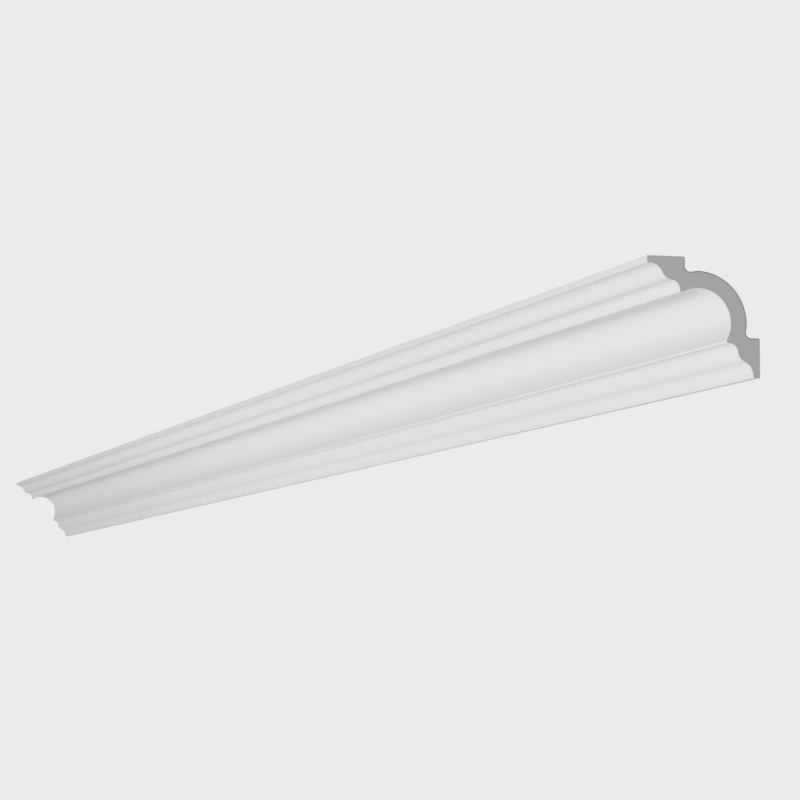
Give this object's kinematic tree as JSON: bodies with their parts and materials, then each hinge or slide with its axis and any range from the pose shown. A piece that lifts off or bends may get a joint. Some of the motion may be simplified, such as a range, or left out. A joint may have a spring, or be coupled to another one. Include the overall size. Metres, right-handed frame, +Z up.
{
  "type": "cornice moulding",
  "caption": "Straight length of cove cornice moulding with a small ogee on each side of a deep cove, flat lands for wall and ceiling, a hollow back and square cut ends.",
  "frame": {"origin": "middle of the flat land that is glued to the wall, halfway along the length", "axes": "+X along the length, +Y into the wall, so the room is at -Y, +Z up to the ceiling"},
  "size_m": [2, 0.06, 0.06],
  "materials": {
    "white_primer": "smooth matt white primer over rigid foam, bare grey foam on the cut ends"
  },
  "bodies": {
    "root": {"cornice_moulding": "white_primer"}
  },
  "joints": []
}
